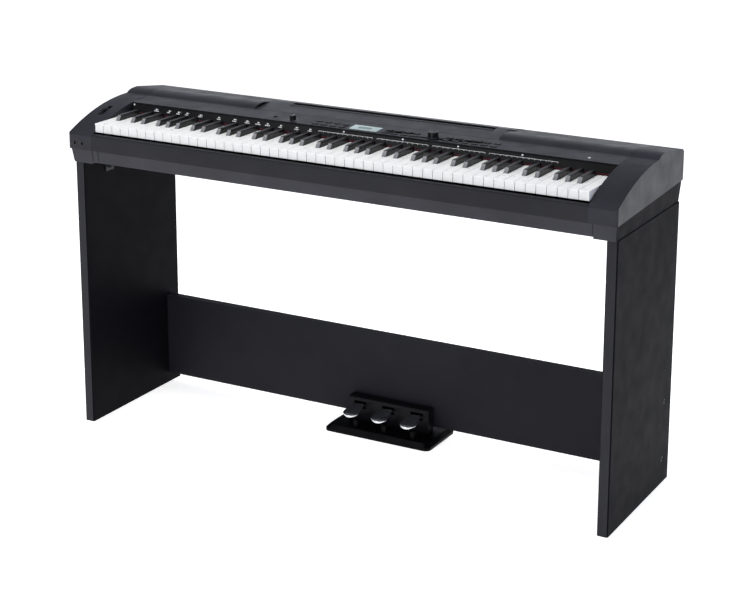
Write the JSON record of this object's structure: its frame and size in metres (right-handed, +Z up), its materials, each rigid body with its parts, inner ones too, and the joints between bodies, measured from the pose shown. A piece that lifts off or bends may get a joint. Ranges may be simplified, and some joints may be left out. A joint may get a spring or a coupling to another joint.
{
  "type": "digital piano on stand",
  "caption": "Full-length digital piano with hinged keys, controls and speakers, resting on a panel stand with a cross panel and a pedal unit.",
  "frame": {"origin": "on the floor, under the middle of the whole object", "axes": "+X along the keyboard from bass to treble, -Y towards the player, +Z up"},
  "size_m": [1.356, 0.377, 0.7772],
  "materials": {
    "case_plastic": "fine satin grain",
    "name_board_plastic": "smooth, semi-gloss",
    "stand_board": "black laminate over particle board, satin",
    "pedal_plastic": "satin",
    "white_key": "semi-gloss",
    "black_key": "satin",
    "felt": "pressed wool felt",
    "steel": "black zinc",
    "chrome": "polished",
    "gloss_black": "gloss",
    "button_rubber": "matte",
    "display_panel": "gloss",
    "circuit_board": "solder mask",
    "speaker": "paper cone and steel basket",
    "speaker_grille": "perforated sheet, satin"
  },
  "bodies": {
    "stand_and_case": {"side_panel_left": "stand_board", "side_panel_right": "stand_board", "cross_panel": "stand_board", "panel_screw_left_lower": "steel", "panel_screw_left_upper": "steel", "panel_screw_right_lower": "steel", "panel_screw_right_upper": "steel", "fixing_bracket_left": "steel", "fixing_bracket_right": "steel", "pedal_base": "pedal_plastic", "pedal_box": "pedal_plastic", "pedal_axle": "steel", "bottom_case": "case_plastic", "key_bed": "steel", "main_board": "circuit_board", "end_block_left": "case_plastic", "end_block_right": "case_plastic", "key_slip": "case_plastic", "name_board": "name_board_plastic", "felt_strip": "felt", "top_cover": "case_plastic", "speaker_left": "speaker", "speaker_right": "speaker", "speaker_grille_left": "speaker_grille", "speaker_grille_right": "speaker_grille", "display": "display_panel"},
    "pedal_left": {"pedal_left": "chrome"},
    "pedal_middle": {"pedal_middle": "chrome"},
    "pedal_right": {"pedal_right": "chrome"},
    "volume_knob": {"volume_knob": "gloss_black"},
    "data_dial": {"data_dial": "gloss_black"},
    "power_button": {"power_button": "button_rubber"},
    "style_buttons": {"style_buttons": "button_rubber"},
    "menu_buttons": {"menu_buttons": "button_rubber"},
    "voice_buttons": {"voice_buttons": "button_rubber"},
    "pitch_wheel": {"pitch_wheel": "gloss_black"},
    "white_key_c4": {"white_key_c4": "white_key"},
    "black_key_c_sharp4": {"black_key_c_sharp4": "black_key"},
    "white_key_d4": {"white_key_d4": "white_key"},
    "black_key_d_sharp4": {"black_key_d_sharp4": "black_key"},
    "white_key_e4": {"white_key_e4": "white_key"},
    "white_key_f4": {"white_key_f4": "white_key"},
    "black_key_f_sharp4": {"black_key_f_sharp4": "black_key"},
    "white_key_g4": {"white_key_g4": "white_key"},
    "black_key_g_sharp4": {"black_key_g_sharp4": "black_key"},
    "white_key_a4": {"white_key_a4": "white_key"},
    "black_key_a_sharp4": {"black_key_a_sharp4": "black_key"},
    "white_key_b4": {"white_key_b4": "white_key"},
    "white_keys_octave_1": {"white_keys_octave_1": "white_key"},
    "black_keys_octave_1": {"black_keys_octave_1": "black_key"},
    "white_keys_octave_2": {"white_keys_octave_2": "white_key"},
    "black_keys_octave_2": {"black_keys_octave_2": "black_key"},
    "white_keys_octave_3": {"white_keys_octave_3": "white_key"},
    "black_keys_octave_3": {"black_keys_octave_3": "black_key"},
    "white_keys_octave_5": {"white_keys_octave_5": "white_key"},
    "black_keys_octave_5": {"black_keys_octave_5": "black_key"},
    "white_keys_octave_6": {"white_keys_octave_6": "white_key"},
    "black_keys_octave_6": {"black_keys_octave_6": "black_key"},
    "white_keys_octave_7": {"white_keys_octave_7": "white_key"},
    "black_keys_octave_7": {"black_keys_octave_7": "black_key"}
  },
  "joints": [
    {"name": "pedal_left_press", "type": "hinge", "parent": "stand_and_case", "child": "pedal_left", "pos_m": [-0.076, 0.123, 0.05], "axis": [1, 0, 0], "range_deg": [0, 10], "stiffness_Nm_per_rad": 4, "springref_deg": -6.88},
    {"name": "pedal_middle_press", "type": "hinge", "parent": "stand_and_case", "child": "pedal_middle", "pos_m": [0, 0.123, 0.05], "axis": [1, 0, 0], "range_deg": [0, 10], "stiffness_Nm_per_rad": 4, "springref_deg": -6.88},
    {"name": "pedal_right_press", "type": "hinge", "parent": "stand_and_case", "child": "pedal_right", "pos_m": [0.076, 0.123, 0.05], "axis": [1, 0, 0], "range_deg": [0, 10], "stiffness_Nm_per_rad": 4, "springref_deg": -6.88},
    {"name": "volume_knob_turn", "type": "hinge", "parent": "stand_and_case", "child": "volume_knob", "pos_m": [-0.1835, -0.00904, 0.76169], "axis": [0, -0.0645, 0.9979], "range_deg": [-140, 140]},
    {"name": "data_dial_turn", "type": "hinge", "parent": "stand_and_case", "child": "data_dial", "pos_m": [0.175, -0.01204, 0.7615], "axis": [0, -0.0645, 0.9979], "continuous": true},
    {"name": "power_button_press", "type": "slide", "parent": "stand_and_case", "child": "power_button", "axis": [0, 0.0645, -0.9979], "range_m": [0, 0.001], "stiffness_N_per_m": 300, "springref_m": -0.001},
    {"name": "style_buttons_press", "type": "slide", "parent": "stand_and_case", "child": "style_buttons", "axis": [0, 0.0645, -0.9979], "range_m": [0, 0.0008], "stiffness_N_per_m": 800, "springref_m": -0.001},
    {"name": "menu_buttons_press", "type": "slide", "parent": "stand_and_case", "child": "menu_buttons", "axis": [0, 0.0645, -0.9979], "range_m": [0, 0.0008], "stiffness_N_per_m": 800, "springref_m": -0.001},
    {"name": "voice_buttons_press", "type": "slide", "parent": "stand_and_case", "child": "voice_buttons", "axis": [0, 0.0645, -0.9979], "range_m": [0, 0.0008], "stiffness_N_per_m": 800, "springref_m": -0.001},
    {"name": "pitch_wheel_turn", "type": "hinge", "parent": "stand_and_case", "child": "pitch_wheel", "pos_m": [-0.648, -0.088, 0.731], "axis": [1, 0, 0], "range_deg": [-35, 35], "stiffness_Nm_per_rad": 0.05},
    {"name": "white_key_c4_press", "type": "hinge", "parent": "stand_and_case", "child": "white_key_c4", "pos_m": [-0.05875, 0.04, 0.726], "axis": [1, 0, 0], "range_deg": [0, 2.7], "stiffness_Nm_per_rad": 2.2, "springref_deg": -5.73},
    {"name": "black_key_c_sharp4_press", "type": "hinge", "parent": "stand_and_case", "child": "black_key_c_sharp4", "pos_m": [-0.0494, 0.04, 0.726], "axis": [1, 0, 0], "range_deg": [0, 2.7], "stiffness_Nm_per_rad": 1, "springref_deg": -5.73},
    {"name": "white_key_d4_press", "type": "hinge", "parent": "stand_and_case", "child": "white_key_d4", "pos_m": [-0.03525, 0.04, 0.726], "axis": [1, 0, 0], "range_deg": [0, 2.7], "stiffness_Nm_per_rad": 2.2, "springref_deg": -5.73},
    {"name": "black_key_d_sharp4_press", "type": "hinge", "parent": "stand_and_case", "child": "black_key_d_sharp4", "pos_m": [-0.0211, 0.04, 0.726], "axis": [1, 0, 0], "range_deg": [0, 2.7], "stiffness_Nm_per_rad": 1, "springref_deg": -5.73},
    {"name": "white_key_e4_press", "type": "hinge", "parent": "stand_and_case", "child": "white_key_e4", "pos_m": [-0.01175, 0.04, 0.726], "axis": [1, 0, 0], "range_deg": [0, 2.7], "stiffness_Nm_per_rad": 2.2, "springref_deg": -5.73},
    {"name": "white_key_f4_press", "type": "hinge", "parent": "stand_and_case", "child": "white_key_f4", "pos_m": [0.01175, 0.04, 0.726], "axis": [1, 0, 0], "range_deg": [0, 2.7], "stiffness_Nm_per_rad": 2.2, "springref_deg": -5.73},
    {"name": "black_key_f_sharp4_press", "type": "hinge", "parent": "stand_and_case", "child": "black_key_f_sharp4", "pos_m": [0.0202, 0.04, 0.726], "axis": [1, 0, 0], "range_deg": [0, 2.7], "stiffness_Nm_per_rad": 1, "springref_deg": -5.73},
    {"name": "white_key_g4_press", "type": "hinge", "parent": "stand_and_case", "child": "white_key_g4", "pos_m": [0.03525, 0.04, 0.726], "axis": [1, 0, 0], "range_deg": [0, 2.7], "stiffness_Nm_per_rad": 2.2, "springref_deg": -5.73},
    {"name": "black_key_g_sharp4_press", "type": "hinge", "parent": "stand_and_case", "child": "black_key_g_sharp4", "pos_m": [0.047, 0.04, 0.726], "axis": [1, 0, 0], "range_deg": [0, 2.7], "stiffness_Nm_per_rad": 1, "springref_deg": -5.73},
    {"name": "white_key_a4_press", "type": "hinge", "parent": "stand_and_case", "child": "white_key_a4", "pos_m": [0.05875, 0.04, 0.726], "axis": [1, 0, 0], "range_deg": [0, 2.7], "stiffness_Nm_per_rad": 2.2, "springref_deg": -5.73},
    {"name": "black_key_a_sharp4_press", "type": "hinge", "parent": "stand_and_case", "child": "black_key_a_sharp4", "pos_m": [0.0738, 0.04, 0.726], "axis": [1, 0, 0], "range_deg": [0, 2.7], "stiffness_Nm_per_rad": 1, "springref_deg": -5.73},
    {"name": "white_key_b4_press", "type": "hinge", "parent": "stand_and_case", "child": "white_key_b4", "pos_m": [0.08225, 0.04, 0.726], "axis": [1, 0, 0], "range_deg": [0, 2.7], "stiffness_Nm_per_rad": 2.2, "springref_deg": -5.73},
    {"name": "white_keys_octave_1_press", "type": "hinge", "parent": "stand_and_case", "child": "white_keys_octave_1", "pos_m": [-0.50525, 0.04, 0.726], "axis": [1, 0, 0], "range_deg": [0, 2.7], "stiffness_Nm_per_rad": 22.77, "springref_deg": -5.73},
    {"name": "black_keys_octave_1_press", "type": "hinge", "parent": "stand_and_case", "child": "black_keys_octave_1", "pos_m": [-0.50195, 0.04, 0.726], "axis": [1, 0, 0], "range_deg": [0, 2.7], "stiffness_Nm_per_rad": 6.9, "springref_deg": -5.73},
    {"name": "white_keys_octave_2_press", "type": "hinge", "parent": "stand_and_case", "child": "white_keys_octave_2", "pos_m": [-0.31725, 0.04, 0.726], "axis": [1, 0, 0], "range_deg": [0, 2.7], "stiffness_Nm_per_rad": 17.71, "springref_deg": -5.73},
    {"name": "black_keys_octave_2_press", "type": "hinge", "parent": "stand_and_case", "child": "black_keys_octave_2", "pos_m": [-0.3168, 0.04, 0.726], "axis": [1, 0, 0], "range_deg": [0, 2.7], "stiffness_Nm_per_rad": 5.75, "springref_deg": -5.73},
    {"name": "white_keys_octave_3_press", "type": "hinge", "parent": "stand_and_case", "child": "white_keys_octave_3", "pos_m": [-0.15275, 0.04, 0.726], "axis": [1, 0, 0], "range_deg": [0, 2.7], "stiffness_Nm_per_rad": 17.71, "springref_deg": -5.73},
    {"name": "black_keys_octave_3_press", "type": "hinge", "parent": "stand_and_case", "child": "black_keys_octave_3", "pos_m": [-0.1523, 0.04, 0.726], "axis": [1, 0, 0], "range_deg": [0, 2.7], "stiffness_Nm_per_rad": 5.75, "springref_deg": -5.73},
    {"name": "white_keys_octave_5_press", "type": "hinge", "parent": "stand_and_case", "child": "white_keys_octave_5", "pos_m": [0.17625, 0.04, 0.726], "axis": [1, 0, 0], "range_deg": [0, 2.7], "stiffness_Nm_per_rad": 17.71, "springref_deg": -5.73},
    {"name": "black_keys_octave_5_press", "type": "hinge", "parent": "stand_and_case", "child": "black_keys_octave_5", "pos_m": [0.1767, 0.04, 0.726], "axis": [1, 0, 0], "range_deg": [0, 2.7], "stiffness_Nm_per_rad": 5.75, "springref_deg": -5.73},
    {"name": "white_keys_octave_6_press", "type": "hinge", "parent": "stand_and_case", "child": "white_keys_octave_6", "pos_m": [0.34075, 0.04, 0.726], "axis": [1, 0, 0], "range_deg": [0, 2.7], "stiffness_Nm_per_rad": 17.71, "springref_deg": -5.73},
    {"name": "black_keys_octave_6_press", "type": "hinge", "parent": "stand_and_case", "child": "black_keys_octave_6", "pos_m": [0.3412, 0.04, 0.726], "axis": [1, 0, 0], "range_deg": [0, 2.7], "stiffness_Nm_per_rad": 5.75, "springref_deg": -5.73},
    {"name": "white_keys_octave_7_press", "type": "hinge", "parent": "stand_and_case", "child": "white_keys_octave_7", "pos_m": [0.517, 0.04, 0.726], "axis": [1, 0, 0], "range_deg": [0, 2.7], "stiffness_Nm_per_rad": 20.24, "springref_deg": -5.73},
    {"name": "black_keys_octave_7_press", "type": "hinge", "parent": "stand_and_case", "child": "black_keys_octave_7", "pos_m": [0.5057, 0.04, 0.726], "axis": [1, 0, 0], "range_deg": [0, 2.7], "stiffness_Nm_per_rad": 5.75, "springref_deg": -5.73}
  ]
}
